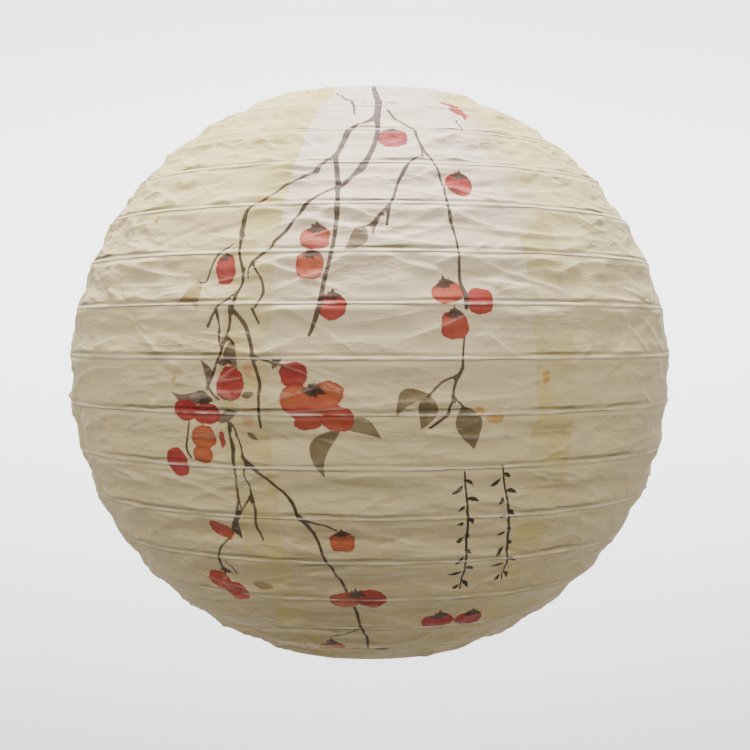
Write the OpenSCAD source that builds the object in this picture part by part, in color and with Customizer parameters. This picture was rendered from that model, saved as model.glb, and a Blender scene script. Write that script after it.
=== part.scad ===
// Round paper lantern: seven printed paper gores glued over fourteen wire hoops,
// a wire rim at each opening, and a spring-wire expander that keeps it open.
// Origin: centre of the hanging eye, in the plane of the top opening. +Z is up,
// and the expander lies in the XZ plane.

/* [Globe] */
// Diameter of the paper globe at its widest
globe_d = 400; // [250:10:600]
// Height of the full globe as a share of its diameter
globe_ratio = 0.965; // [0.85:0.005:1]
// Diameter of the top and bottom openings
opening_d = 140; // [120:5:180]

/* [Paper] */
// Number of gores around the globe
gore_count = 7; // [5:1:9]
// Thickness of the paper wall, stiffened by glue
paper_t = 0.5; // [0.4:0.1:1]
// How far the paper folds inwards halfway between two hoops
fold_depth = 2.6; // [0:0.1:5]
// Width of the joint line between two gores
seam_gap = 0.3; // [0.1:0.1:1]
// Direction of the first seam, measured from +X
first_seam = -110; // [-180:1:180]

/* [Hoops and rims] */
// Number of hoops between the two rims
hoop_count = 14; // [8:1:20]
// Angle of the highest hoop above the widest level
top_hoop_angle = 57.3; // [50:0.1:60]
// Angle of the lowest hoop below the widest level
bottom_hoop_angle = 59.1; // [50:0.1:60]
// Wire diameter of the hoops
hoop_wire = 1.2; // [0.8:0.1:2]
// Wire diameter of the two rims
rim_wire = 2; // [1.5:0.1:3]
// Gap between a hoop or rim and the paper glued over it
glue_gap = 0.35; // [0.3:0.05:0.6]

/* [Expander] */
// Wire diameter of the expander
spring_wire = 2.5; // [2:0.1:3]
// Middle radius of the hanging eye
eye_r = 6; // [5:0.5:7]
// Middle radius of the spring coils
coil_r = 6; // [5:0.5:8]
// Distance from turn to turn in a coil, less than the wire so that the turns touch
turn_pitch = 2.1; // [1.9:0.1:2.2]
// How far each leg bows outwards between its coil and its foot
leg_bow = 10; // [6:0.5:12]
// Middle radius of the bend where a leg turns out into its foot
foot_bend = 3.5; // [3:0.5:4.5]
// Clearance between an expander leg and the rims
leg_gap = 0.6; // [0.4:0.1:1]

/* [Hidden] */

round_fn = 180;
wire_fn = 24;

globe_r = globe_d / 2;
globe_h = globe_r * globe_ratio;
rim_angle = acos(opening_d / globe_d);
globe_z = -globe_h * sin(rim_angle);

// Steps of the paper between one hoop and the next
band_steps = 4;
gore_angle = 360 / gore_count;
seam_angle = seam_gap / globe_r * 180 / PI;

// Angles of all rings from the top rim down to the bottom rim
ring_angles = [
    rim_angle,
    for (i = [0 : hoop_count - 1])
        top_hoop_angle - i * (top_hoop_angle + bottom_hoop_angle) / (hoop_count - 1),
    -rim_angle
];

rim_depth = paper_t + glue_gap + rim_wire / 2;
hoop_depth = paper_t + glue_gap + hoop_wire / 2;
top_rim_at = globe_point(rim_angle, rim_depth);
bottom_rim_at = globe_point(-rim_angle, rim_depth);

// Straight and bowed runs are slightly slimmer than the turns and bends, and their
// ends are let into them this far
run_wire = spring_wire - 0.2;
let_in = 0.5;

// The bar passes under the top rim, and the feet pass under the bottom rim
under_rim = rim_wire / 2 + glue_gap + spring_wire / 2;
bar_z = top_rim_at[1] - under_rim;
foot_z = bottom_rim_at[1] - rim_depth - glue_gap - spring_wire / 2;
bar_end = opening_d / 2 + 3;
foot_end = opening_d / 2 + 4;

// Each bowed leg leaves its coil and reaches its foot at this distance from the middle
leg_x = bottom_rim_at[0] - rim_wire / 2 - leg_gap - spring_wire / 2;
coil_z = bar_z - coil_r;
leg_drop = coil_z - foot_z - foot_bend;
leg_tilt = 2 * atan(2 * leg_bow / leg_drop);
leg_chord = leg_drop + (coil_r - foot_bend) * sin(leg_tilt);
bow_r = leg_chord / 2 / sin(leg_tilt);
coil_x = leg_x - coil_r * cos(leg_tilt);
bow_let_in = let_in / bow_r * 180 / PI;
foot_run = foot_end - leg_x - foot_bend * cos(leg_tilt);
// The bar's turns lie beside a leg's turns in each coil
leg_y = spring_wire + 0.3;

function hoop_name(number) = str("rib_hoop_", number < 10 ? "0" : "", number);

// A point of the globe's surface in the plane of a meridian, moved inwards by depth
function globe_point(angle, depth = 0) =
    let (slope = [globe_h * cos(angle), globe_r * sin(angle)])
    [globe_r * cos(angle), globe_z + globe_h * sin(angle)] - depth * slope / norm(slope);

// The paper's line from rim to rim, folded inwards between the hoops
function paper_line(depth) = [
    for (i = [0 : len(ring_angles) - 2], step = [0 : band_steps - 1])
        let (t = step / band_steps)
        globe_point(
            ring_angles[i] + t * (ring_angles[i + 1] - ring_angles[i]),
            depth + 4 * fold_depth * t * (1 - t)
        ),
    globe_point(-rim_angle, depth)
];

function reversed(list) = [for (i = [len(list) - 1 : -1 : 0]) list[i]];

// One paper gore, number 1 starting at the first seam
module paper_gore(number) {
    color("#ece0c8")
        rotate([0, 0, first_seam + (number - 1) * gore_angle])
            rotate_extrude(angle = gore_angle - seam_angle, $fn = round_fn)
                polygon(concat(paper_line(0), reversed(paper_line(paper_t))));
}

// A closed wire ring, at = [radius, height]
module ring(at, wire) {
    translate([0, 0, at[1]])
        rotate_extrude($fn = round_fn)
            translate([at[0], 0])
                circle(d = wire, $fn = wire_fn);
}

module rib_hoop(number) {
    color("#b9b2a2")
        ring(globe_point(ring_angles[number], hoop_depth), hoop_wire);
}

module top_rim() {
    color("#a9a397")
        ring(top_rim_at, rim_wire);
}

module bottom_rim() {
    color("#a9a397")
        ring(bottom_rim_at, rim_wire);
}

// Straight expander wire along +Z
module straight_wire(length) {
    cylinder(h = length, d = run_wire, $fn = wire_fn);
}

// Expander wire that starts along +Z and bends towards +X
module bent_wire(radius, angle, wire, facets) {
    translate([radius, 0, 0])
        rotate([90, 0, 180])
            rotate_extrude(angle = angle, $fn = facets)
                translate([radius, 0])
                    circle(d = wire, $fn = wire_fn);
}

// Carries on from the end of a bend made by bent_wire
module after_bend(radius, angle) {
    translate([radius * (1 - cos(angle)), 0, radius * sin(angle)])
        rotate([0, angle, 0])
            children();
}

// A full turn of expander wire around the Y axis
module wire_turn(radius) {
    rotate([90, 0, 0])
        rotate_extrude($fn = 72)
            translate([radius, 0])
                circle(d = spring_wire, $fn = wire_fn);
}

// Two turns of a coil, the first at the given place along Y
module coil_turns(first, step) {
    for (turn = [0, 1])
        translate([0, first + turn * step, 0])
            wire_turn(coil_r);
}

// Half of the bar: from the eye to a coil, and on to its tip under the rim
module bar_half() {
    rise = bar_z + eye_r;
    translate([0, 0, -eye_r])
        rotate([0, atan2(coil_x, rise), 0])
            straight_wire(norm([coil_x, rise]));
    translate([coil_x, 0, bar_z])
        rotate([0, 90, 0])
            straight_wire(bar_end - coil_x);
    translate([coil_x, 0, coil_z])
        coil_turns(0, -turn_pitch);
}

// The bar across the top opening, with the hanging eye in its middle
module expander_top_bar() {
    color("#8f9295") {
        bar_half();
        mirror([1, 0, 0])
            bar_half();
        wire_turn(eye_r);
    }
}

// The leg on the +X side: coil turns, the bowed leg and a foot that turns outwards
module expander_leg() {
    color("#8f9295")
        translate([coil_x, 0, coil_z]) {
            coil_turns(leg_y, turn_pitch);
            translate([0, leg_y, 0])
                rotate([0, 180 - leg_tilt, 0])
                    translate([-coil_r, 0, 0]) {
                        bent_wire(bow_r, 2 * leg_tilt + bow_let_in, run_wire, 1440);
                        after_bend(bow_r, 2 * leg_tilt)
                            rotate([0, 0, 180])
                                leg_foot();
                    }
        }
}

// The foot, starting along +Z and turning towards +X
module leg_foot() {
    bend = 90 + leg_tilt;
    bent_wire(foot_bend, bend, spring_wire, 72);
    after_bend(foot_bend, bend)
        translate([0, 0, -let_in])
            straight_wire(foot_run + let_in);
}

top_rim();
bottom_rim();
expander_top_bar();
expander_leg();  // expander_leg_right
mirror([1, 0, 0]) expander_leg();  // expander_leg_left
for (number = [1 : gore_count])
    paper_gore(number);
for (number = [1 : hoop_count])
    rib_hoop(number);
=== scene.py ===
import math

import bpy
import numpy as np
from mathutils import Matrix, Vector


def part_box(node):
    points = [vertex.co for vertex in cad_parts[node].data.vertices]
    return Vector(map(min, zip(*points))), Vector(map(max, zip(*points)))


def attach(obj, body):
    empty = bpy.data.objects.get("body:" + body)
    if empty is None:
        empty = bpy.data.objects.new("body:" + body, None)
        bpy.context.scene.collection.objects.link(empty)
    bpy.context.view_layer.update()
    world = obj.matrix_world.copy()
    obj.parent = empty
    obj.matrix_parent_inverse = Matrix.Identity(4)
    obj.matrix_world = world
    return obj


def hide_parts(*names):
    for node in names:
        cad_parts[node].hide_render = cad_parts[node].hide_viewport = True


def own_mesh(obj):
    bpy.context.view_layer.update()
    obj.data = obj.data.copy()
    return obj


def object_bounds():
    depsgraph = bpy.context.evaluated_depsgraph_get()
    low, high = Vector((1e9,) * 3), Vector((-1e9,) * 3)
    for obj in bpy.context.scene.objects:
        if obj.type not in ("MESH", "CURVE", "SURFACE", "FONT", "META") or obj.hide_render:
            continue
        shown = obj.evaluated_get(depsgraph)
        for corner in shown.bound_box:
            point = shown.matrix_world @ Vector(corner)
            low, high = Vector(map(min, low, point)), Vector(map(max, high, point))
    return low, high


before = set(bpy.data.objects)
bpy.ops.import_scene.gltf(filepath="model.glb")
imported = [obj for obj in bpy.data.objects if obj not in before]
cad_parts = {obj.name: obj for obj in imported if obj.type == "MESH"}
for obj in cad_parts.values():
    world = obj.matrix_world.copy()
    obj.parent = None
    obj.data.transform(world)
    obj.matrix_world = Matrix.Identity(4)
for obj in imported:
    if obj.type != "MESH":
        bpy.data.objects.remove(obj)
cad_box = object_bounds()

# ---- the frame's rings

MM = 0.001
HOOPS = sorted(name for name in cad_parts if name.startswith("rib_hoop"))
GORES = sorted(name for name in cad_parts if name.startswith("paper_gore"))
RINGS = ["top_rim", *HOOPS, "bottom_rim"]


def ring_size(node):
    """A wire ring's middle radius, height and wire radius."""
    low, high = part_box(node)
    wire = (high.z - low.z) / 2
    return (high.x - low.x) / 2 - wire, (low.z + high.z) / 2, wire


ring_r, ring_z, ring_wire = np.array([ring_size(node) for node in RINGS]).T

# ---- the paper's sizes

PAPER = 0.25 * MM        # thickness of the paper with its glue
COVER = 0.05 * MM        # glue between a wire and the paper
GORE_DEG = 360 / len(GORES)
LAP_DEG = 4.0            # how far a gore runs past its seam, on each side
WORN_DEG = 0.8           # the last part of a lap, which is worn thin
LAP_RAISE = 0.32 * MM    # the upper layer of a lap lies this much higher
CELL_ACROSS = 1.7 * MM   # size of the mesh cells around the globe
CELL_DOWN = 1.2 * MM     # and along a meridian
FOLD = 0.070             # depth of a fold as a share of its band's length
SEED = 7
FAR_MM = 9.0             # a distance that is past every shape's edge
PINK_HIGHLIGHT_AT, PINK_HIGHLIGHT_WIDE = 6.0, 40.0    # where the pinker paper with its painted highlight is, in degrees
LOW_SHADE = 0.56              # how strong the painted shade on the lowest paper is

# The globe is an ellipsoid: its height share follows from a wide and a narrow ring
WIDE_RING, NARROW_RING = 7, 2
globe_z = (ring_z[0] + ring_z[-1]) / 2
height_share = math.sqrt(
    ((ring_z[NARROW_RING] - globe_z) ** 2 - (ring_z[WIDE_RING] - globe_z) ** 2)
    / (ring_r[WIDE_RING] ** 2 - ring_r[NARROW_RING] ** 2)
)


def outward(angle):
    """Unit normal of the ellipsoid in a meridian plane, as (radial, vertical)."""
    radial, up = height_share * np.cos(angle), np.sin(angle)
    size = np.hypot(radial, up)
    return radial / size, up / size


# The paper passes over each wire, and its smooth form is an ellipsoid through those ridges
wire_angle = np.arctan2((ring_z - globe_z) / height_share, ring_r)
ridge_normal = outward(wire_angle)
over_wire = ring_wire + COVER + PAPER
ridge_r = ring_r + ridge_normal[0] * over_wire
ridge_z = ring_z - globe_z + ridge_normal[1] * over_wire
ring_angle = np.arctan2(ridge_z / height_share, ridge_r)
globe_r = float(np.mean(np.hypot(ridge_r, ridge_z / height_share)[1:-1]))
band_length = (ring_angle[:-1] - ring_angle[1:]) * globe_r * (1 + height_share) / 2


def gore_start(name):
    """Where a gore starts, in degrees to the right of the front (-Y)."""
    corners = np.array([v.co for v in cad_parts[name].data.vertices])
    x, y = corners[:, :2].mean(0)
    return math.degrees(math.atan2(x, -y)) - GORE_DEG / 2


def globe_point(azimuth, angle):
    """Points of the smooth ellipsoid. azimuth is to the right of the front, both in radians."""
    azimuth, angle = np.broadcast_arrays(azimuth, angle)
    radius = globe_r * np.cos(angle)
    z = globe_z + globe_r * height_share * np.sin(angle)
    return np.stack([radius * np.sin(azimuth), -radius * np.cos(azimuth), z], -1)


# ---- seeded noise

NOISE_ROWS = 512


def noise(x, y, period, seed):
    """Gradient noise of about -0.7 to 0.7, with a cell of 1, that repeats in x."""
    rng = np.random.default_rng(SEED * 1000 + seed)
    turn = rng.uniform(0, 2 * math.pi, (NOISE_ROWS, period))
    column, row = np.floor(x).astype(int), np.floor(y).astype(int)
    fx, fy = x - column, y - row

    def corner(dx, dy):
        at = turn[(row + dy) % NOISE_ROWS, (column + dx) % period]
        return np.cos(at) * (fx - dx) + np.sin(at) * (fy - dy)

    sx, sy = (f * f * f * (f * (f * 6 - 15) + 10) for f in (fx, fy))
    low = corner(0, 0) * (1 - sx) + corner(1, 0) * sx
    high = corner(0, 1) * (1 - sx) + corner(1, 1) * sx
    return low * (1 - sy) + high * sy


def around(azimuth, along, width, height, seed):
    """Noise over the globe with features of about width by height, in metres."""
    period = max(3, round(2 * math.pi * globe_r / width))
    return noise(azimuth / (2 * math.pi) * period + period, along / height + 50, period, seed)


def smooth(x, low, high):
    """0 below low, 1 above high, and a smooth step between."""
    t = np.clip((x - low) / (high - low), 0, 1)
    return t * t * (3 - 2 * t)


# ---- the paper's relief


def rows():
    """For each row of the paper's mesh: its band, its place in the band from 0 to 1, its angle
    and its distance along the meridian from the top."""
    out, start = [], 0.0
    for band, length in enumerate(band_length):
        count = max(8, round(length / CELL_DOWN))
        last = band == len(band_length) - 1
        for t in np.arange(count + last) / count:
            angle = ring_angle[band] + t * (ring_angle[band + 1] - ring_angle[band])
            out.append((band, t, angle, start + t * length))
        start += length
    return np.array(out)


ROWS = rows()
MERIDIAN = float(band_length.sum())

CREASE_COUNT = 2400
STEEP_SHARE = 0.05       # creases that run in any direction
OUT_SHARE = 0.72         # creases that stand out and do not sink in


def make_creases():
    """Sharp creases in the paper. Most lie nearly along the hoops, where it has been folded."""
    rng, count = np.random.default_rng(SEED), CREASE_COUNT
    steep = rng.random(count) < STEEP_SHARE
    azimuth = rng.uniform(-math.pi, math.pi, count)
    along = rng.uniform(0, MERIDIAN, count)
    direction = np.where(steep, rng.normal(0, 0.5, count), rng.normal(-0.04, 0.27, count))
    half = rng.gamma(2.0, 10.0 * MM, count) + 5 * MM
    above = rng.uniform(1.5, 2.6, count) * MM
    below = rng.uniform(2.5, 8.0, count) * MM
    height = rng.uniform(0.20, 1.00, count) * MM
    height = height * np.where(rng.random(count) < OUT_SHARE, 1, -0.7)
    bend = rng.normal(0, 2.5, count)
    return np.stack([azimuth, along, direction, half, above, below, height, bend], 1)


CREASES = make_creases()


def crease_patch(crease, azimuth, row_radius, along):
    """The part of a grid that a crease reaches, with the distances along and across it, or None."""
    at, place, turn, half, _, below, _, bend = crease
    reach = half + below
    low, high = np.searchsorted(along, [place - reach, place + reach])
    if high - low < 2:
        return None
    off = (azimuth - at + math.pi) % (2 * math.pi) - math.pi
    columns = np.flatnonzero(np.abs(off) * row_radius[low:high].mean() < reach)
    if len(columns) < 2:
        return None
    x = off[columns][None, :] * row_radius[low:high, None]
    y = along[low:high, None] - place
    u = x * math.cos(turn) + y * math.sin(turn)
    v = -x * math.sin(turn) + y * math.cos(turn) + bend * u * u
    return np.s_[low:high, columns[0]:columns[-1] + 1], u, v


def crease_relief(azimuth, row_radius, along):
    """The creases' height over a grid, and for the nearest crest its signed offset and its distance
    in mm, and its sharpness."""
    shape = (len(along), len(azimuth))
    relief, offset, sharp = np.zeros((3, *shape))
    near = np.full(shape, FAR_MM)
    for crease in CREASES:
        patch = crease_patch(crease, azimuth, row_radius, along)
        if patch is None:
            continue
        part, u, v = patch
        half, above, below, height = crease[3:7]
        fade = smooth(1 - np.abs(u) / half, 0, 0.6)
        tent = np.clip(np.where(v < 0, 1 + v / above, 1 - v / below), 0, 1)
        relief[part] += height * tent * fade
        distance = np.abs(v) / MM + np.where(fade > 0, 0, FAR_MM)
        closer = distance < near[part]
        near[part] = np.where(closer, distance, near[part])
        offset[part] = np.where(closer, v / MM, offset[part])
        sharp[part] = np.where(closer, np.maximum(height, 0) / MM * 2 * fade, sharp[part])
    return relief, {"crease_offset": offset, "crease_near": near, "crease_sharp": sharp}


BAND_CELL = 0.05         # the noise of the folds steps on by one cell per band


def fold_depth(az, level, t, length):
    """How far the paper hangs in between its hoops, sharply in some places and round in others."""
    sharp = 1.15 + 0.5 * around(az, level, 60 * MM, BAND_CELL, 2)
    deep = FOLD * length * (1 + 0.7 * around(az, level, 75 * MM, BAND_CELL, 3))
    return deep * (1 - np.abs(2 * t - 1) ** sharp)


def dents(az, s):
    """Broad dents all over, with smaller ones in the rough places."""
    broad = 1.5 * MM * around(az, s, 42 * MM, 12 * MM, 4)
    rough = smooth(around(az, s, 60 * MM, 60 * MM, 7), -0.1, 0.25)
    return broad + 1.0 * MM * rough * around(az, s, 17 * MM, 6 * MM, 5)


def puckers(az, s, t, length):
    """Small upright wrinkles that fade out away from the hoops."""
    near_hoop = np.exp(-np.minimum(t, 1 - t) * length / (5 * MM)) * smooth(t * (1 - t), 0, 0.02)
    return 0.22 * MM * around(az, s, 5 * MM, 30 * MM, 6) * near_hoop


def paper_relief(azimuth):
    """How far the paper lies outside the smooth ellipsoid, for all rows at these azimuths, and the
    creases' own values."""
    band, t, angle, along = ROWS.T
    az, s, t = azimuth[None, :], along[:, None], t[:, None]
    length = band_length[band.astype(int)][:, None]
    level = band[:, None] * BAND_CELL
    # The valley of a fold wanders up and down
    t = t ** np.exp2(0.45 * around(az, level, 90 * MM, BAND_CELL, 1))
    off_hoop = smooth(t, 0, 0.12) * smooth(1 - t, 0, 0.12)
    creases, crests = crease_relief(azimuth, globe_r * np.cos(angle), along)
    crests["crease_sharp"] = crests["crease_sharp"] * off_hoop
    relief = off_hoop * (dents(az, s) + creases) - fold_depth(az, level, t, length)
    return relief + puckers(az, s, t, length), crests


# ---- the print

# Branches as points: degrees to the right of the front, degrees above the widest level, width in mm
BRANCHES = [
    # The trunk and the thick stem that hangs from it
    [(2, 69, 3), (2, 67, 3), (3, 60, 4.5), (2, 53.5, 4), (2, 48.5, 3), (1, 44.5, 3), (-0.5, 40.5, 3.5),
     (-1.5, 38.5, 5), (-3, 37, 3.5), (-5.5, 34.5, 2)],
    [(-7.5, 41.5, 3), (-6.5, 36, 3), (-6, 31, 2.5), (-6, 30, 3.5), (-6, 26.5, 2.5), (-6.5, 21, 2.5),
     (-7.5, 16.5, 2.5), (-8, 12, 3), (-9.5, 7.5, 2)],
    # The long limb to the left, and its forks
    [(2, 54, 3), (-1, 51.5, 3), (-4, 49, 3), (-5.5, 47.5, 4), (-6.5, 44.5, 3), (-7.5, 41.5, 3),
     (-9, 40, 2.5), (-10.5, 38.5, 2.5), (-11, 37.5, 3.5), (-12, 37, 2.5), (-14, 36, 2), (-17, 34.5, 1.8),
     (-19.5, 32, 1.8), (-21, 31, 2), (-23, 29.5, 2.2), (-23.5, 27.5, 3), (-23.5, 25.5, 3.2),
     (-23, 24.5, 3.2), (-23, 23, 1.8), (-22.5, 20.5, 1.7), (-21.5, 18, 2), (-21.5, 16, 1.6),
     (-22, 14.5, 1.6), (-22.5, 12.5, 2), (-23, 11.5, 2.2)],
    [(-23, 11.5, 2.2), (-23, 9, 1.7), (-23.5, 7, 1.5), (-24, 4.5, 1.5), (-24.5, 3.5, 1.7),
     (-25.5, 1.5, 1.6), (-26.5, -1, 2.2), (-26, -1.5, 1.6), (-24.5, -3, 1.2)],
    [(-23, 12, 2), (-21, 10, 2.5), (-20, 8.5, 2.5), (-19, 6, 2.2), (-18.5, 4, 2.5), (-18, 1.5, 2),
     (-17.5, -0.5, 2.2), (-17.5, -2.5, 1.8), (-17.5, -6, 1.6), (-17.5, -7.5, 1.4)],
    [(-25, 8, 1), (-24.5, 5.5, 1)],
    [(-23, 7, 1.6), (-22, 6, 1.4)],
    [(-22.5, 14.5, 1), (-24, 13, 1.2), (-25.5, 12, 1.2), (-27, 9, 2)],
    [(-25.5, 11.5, 1.4), (-25, 9.5, 1.2), (-24.5, 6, 1)],
    # The second limb, in the middle of the left
    [(-6, 34.5, 1.2), (-8, 33.5, 1.5), (-10.5, 31.5, 1.8), (-12, 30, 2.6), (-13, 28.5, 1.7),
     (-14.5, 26, 2), (-16.5, 23.5, 2.2), (-17, 22, 1.5), (-19, 20.5, 2), (-20, 19.5, 2),
     (-20.5, 18.5, 1.4), (-20.5, 17, 1)],
    [(-20, 19.5, 1.4), (-19, 18, 1.2), (-18, 16.5, 1.4), (-17.5, 14.5, 1.8), (-18, 13, 1.4),
     (-18.5, 12, 1.2)],
    [(-19, 11.5, 1.9), (-18, 9.5, 1)],
    # Stalks of the left fruits and leaves
    [(-24.5, 23, 1), (-26.5, 21.5, 1.7), (-27.5, 20, 1.2), (-28.5, 17.5, 1.2), (-29, 16.5, 1.4),
     (-30, 16.5, 1.2)],
    [(-18.5, 4, 1.4), (-17, 3.5, 1.6), (-15.5, 3, 1.4), (-13.5, 2.5, 1.6)],
    [(-30.5, -7, 1.1), (-31.3, -9.5, 1.4), (-31.8, -11.5, 1.6), (-31, -13, 1.4)],
    # The thin stems that run down from the left cluster
    [(-23, -7, 1.6), (-23, -9, 1.6), (-22.7, -11.5, 2.6), (-22.5, -15.5, 1.4), (-23, -18.5, 1.4),
     (-23, -20.5, 1.7), (-24, -24, 1.6), (-24.5, -26.5, 1.7), (-24.5, -28, 1.1)],
    [(-22.5, -7, 1.1), (-22, -8, 1.1), (-21, -12, 1.1), (-20.5, -13.5, 1.1), (-21, -15.5, 1.1),
     (-20.5, -17.5, 1.1), (-20.5, -19.5, 1.2)],
    [(-20.5, -19.5, 1.6), (-22.5, -22, 1.2), (-24.5, -24.5, 2.8), (-26, -26.5, 1.7)],
    [(-20.5, -19.5, 1.6), (-20, -22, 1.7), (-20.5, -25.5, 1.6), (-20, -28, 1.1)],
    [(-27.5, -28.5, 1.1), (-30, -30.5, 1.4), (-31.5, -33.5, 1.7), (-32.5, -37, 1.5)],
    [(-30, -33.5, 1.1), (-29, -35.5, 1.4), (-29, -36.5, 1.2)],
    # The long diagonal and its tip
    [(-21, -12.5, 1.4), (-19.5, -14, 3), (-18.5, -15, 2.2), (-16.5, -17, 1.7), (-14.5, -19, 1.7),
     (-13, -21, 2.2), (-12.5, -23, 1.7), (-11, -24.5, 2.5), (-9.5, -28, 1.7), (-8.5, -31.5, 1.7),
     (-7, -34.5, 1.7), (-5, -39, 1.7)],
    [(-12, -23, 1.6), (-10, -24, 1.6), (-8, -24.5, 1.4), (-6, -25.5, 1.2)],
    [(-3.5, -44, 2), (-2.5, -49.5, 1.6), (-1, -54.5, 1.8), (-0.5, -60.5, 1.2)],
    [(-3, -51, 1.2), (-8, -53, 1.2), (-12, -55, 1.2)],
    [(-28, -63.5, 1), (-16.5, -59, 1.2)],
    # Twigs at the top
    [(-14.5, 66, 1.6), (-8.5, 61.5, 1.5), (-5.5, 58, 1.8), (-4.5, 54.5, 1.2)],
    [(-8, 62, 1.2), (-2.5, 60.5, 1.2), (0.5, 59, 1)],
    [(23.5, 64, 1), (26, 62.5, 1.2)],
    [(26, 53.5, 1.1), (24.5, 49, 1)],
    # The stem on the right
    [(5.5, 55.5, 1.8), (7.5, 53, 1.8), (9.5, 50, 1.6), (11, 48.5, 2), (11.5, 46, 1.6), (12, 43.5, 1.7),
     (13.5, 39.5, 1.4), (14.5, 36, 1.4), (14.5, 32, 1.4), (14.5, 28, 2.2), (15, 24.5, 1.4), (15, 20, 1.6),
     (15, 18, 1.8), (15, 16, 2.2), (15.5, 14, 3), (15.5, 12, 2.6)],
    [(15, 7, 1.3), (14.5, 3.5, 1.3), (14.5, 2, 2.1), (13.5, 0, 1.6), (13, -2.5, 1.6), (12.5, -4, 1.6),
     (12, -5.5, 1.9), (9.5, -7.5, 1.5)],
    [(14, 1, 1.4), (11.5, 0, 1.3), (10, -1.5, 1.3), (9, -2.5, 1.3)],
    [(13, -2.5, 1.1), (14.5, -4, 1.1)],
    [(11.5, 41, 1.1), (12, 44, 1.2)],
    [(11, 41, 1.1), (8.5, 39.5, 1.4), (7, 37.5, 2.5), (5.5, 35, 1.7), (4.5, 32, 1.7), (3.5, 30, 2),
     (2.5, 29, 1.7), (1, 27, 2.5), (0.5, 24.5, 1.1)],
    [(1, 27, 1.6), (-1, 26, 1.4)],
    [(3.5, 29.5, 1.7), (3, 26.5, 1.5)],
]
# Fruits: place in degrees, width and height in mm, tilt in degrees, tone from 0 rose to 1 orange,
# and 1 if its sepals show
FRUITS = [
    (5.5, 46, 17.5, 15, 0, 0, 0), (18, 35, 16.5, 16.5, -15, 0.05, 1),
    (-9.5, 24, 17.5, 15, 0, 0.5, 1), (-10, 19, 16, 16, 0, 0.6, 1), (-6, 12, 15.5, 15, 0, 0.15, 1),
    (-25, 18.5, 13, 17.5, 8, 0, 1), (12.5, 14.5, 17.5, 13, 10, 0.45, 1),
    (18, 13, 14.5, 15, 0, 0.15, 0), (13.5, 9, 16, 15.5, 0, 0.35, 1),
    (-12, 1, 15.5, 13.5, 0, 0.05, 0), (-6.5, -2, 16.5, 14, 0, 0.8, 0),
    (-11.5, -3, 18.5, 15.5, 0, 0.7, 0), (-11, -4.5, 11.5, 10.5, 0, 0.15, 0),
    (-5, -6, 17, 14, 0, 0.4, 0), (-9.5, -6.5, 16, 10, 0, 0.35, 0), (-8, -3.5, 12, 12, 0, 0.5, 0),
    (-22.5, -0.5, 16, 19, 0, 0.05, 0), (-31, -5, 16, 12, 0, 0.1, 0),
    (-27, -5.5, 17.5, 12, 0, 0.05, 0), (-28, -9.5, 17, 13.5, 0, 0.9, 0),
    (-28.5, -12.5, 13.5, 9.5, 0, 1, 0), (-34, -14, 14.5, 17, 15, -0.2, 0),
    (-24.5, -9.5, 3.5, 10.5, 0, 0.2, 0), (-28.5, -26.5, 16, 11, -28, 0.5, 0),
    (-34.5, -38.5, 17, 13, -12, 0.4, 0), (-31, -40.5, 17, 13, -14, 0.3, 0),
    (-5, -28, 15, 13.5, 0, 0.9, 1), (-5.5, -41.5, 18, 14.5, 8, 0.8, 0),
    (0, -41, 18.5, 15, -6, 0.2, 0), (-12.5, -58.5, 15.5, 10.5, 0, 0.9, 1),
    (17.5, -48.5, 19.5, 12.5, 0, 0.1, 1), (26.5, -48.5, 18, 11.5, 0, 0.1, 1),
]
# Sepals that lie between fruits: place in degrees, width and height in mm and tilt in degrees
SEPALS = [
    (-3, -41, 17, 9, 0), (-9, -2.5, 20, 9, -10), (-32, -37.5, 15, 12, -10),
    (-26.5, -27.5, 12, 10, -60), (-14, 2, 13, 9, 40), (-23.5, 1, 14, 17, 0), (-27, -4.5, 15, 10, 0),
    (5.5, 46.5, 12, 12, 0),
]
# Washes of faded colour: place in degrees, width and height in mm
WASHES = [(-19.5, 2, 5, 9), (-19.5, -6, 6, 11), (-22.5, 3, 12, 5)]
# Leaves: the stalk's and the tip's places in degrees, width in mm, how far it curves, and tone from
# 0 purple-brown, through olive, to 1 ochre
LEAVES = [
    (-30.5, 17, -34.5, 12, 7.5, 0.2, 0.95), (-30, 17, -29, 11.5, 8, -0.15, 0.9),
    (-22.5, 6.5, -21, 1.5, 8, -0.12, 0.25), (-26.5, -1, -28, 3.5, 5.5, -0.15, 0.05),
    (-27, -2, -34, -2, 8, 0.2, 0), (-25.5, -3, -31, -4, 8, -0.1, 0),
    (-24, -6.5, -21, -5, 6, 0.1, 0.2), (-25.5, -6, -22.5, -6.5, 6, 0, 0),
    (-20.5, -2.5, -18, -2, 4, 0, 0.2), (-20, -8.5, -18, -10, 3, 0, 0.5),
    (-1, 26.5, -4.5, 21, 10, 0.1, 0.35), (-4.5, -7.5, -7, -16.5, 11, -0.28, 0.5),
    (-4.5, -7, 2, -9.5, 9, 0.16, 0.55), (9, -2, 8, -8, 11, 0.08, 0.55),
    (9, -2, 4, -6, 9, -0.25, 0.6), (14.5, -4, 17, -11.5, 15, 0.03, 0.45),
    (-1.5, -60.5, 8, -62, 4, 0, 0.4), (-26, -38.5, -20.5, -39, 6, 0, 0.75),
]
# Red flowers, given like the leaves but without a tone
FLOWERS = [(25.5, 63, 29, 52.5, 7, 0.1), (26, 57.5, 32, 54.5, 5, -0.1)]
# Small drops of ochre, given like the washes
DROPS = [(-46, 29, 4, 6), (-33.5, 0, 4, 4), (29.5, 0.5, 5, 8), (20, -6, 13, 6), (17.5, -5, 5, 6)]
# Leaf sprigs in ink: the top and bottom of each stem in degrees
SPRIGS = [((15.5, -15), (19.5, -39)), ((22, -14), (29, -37.5))]
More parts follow.
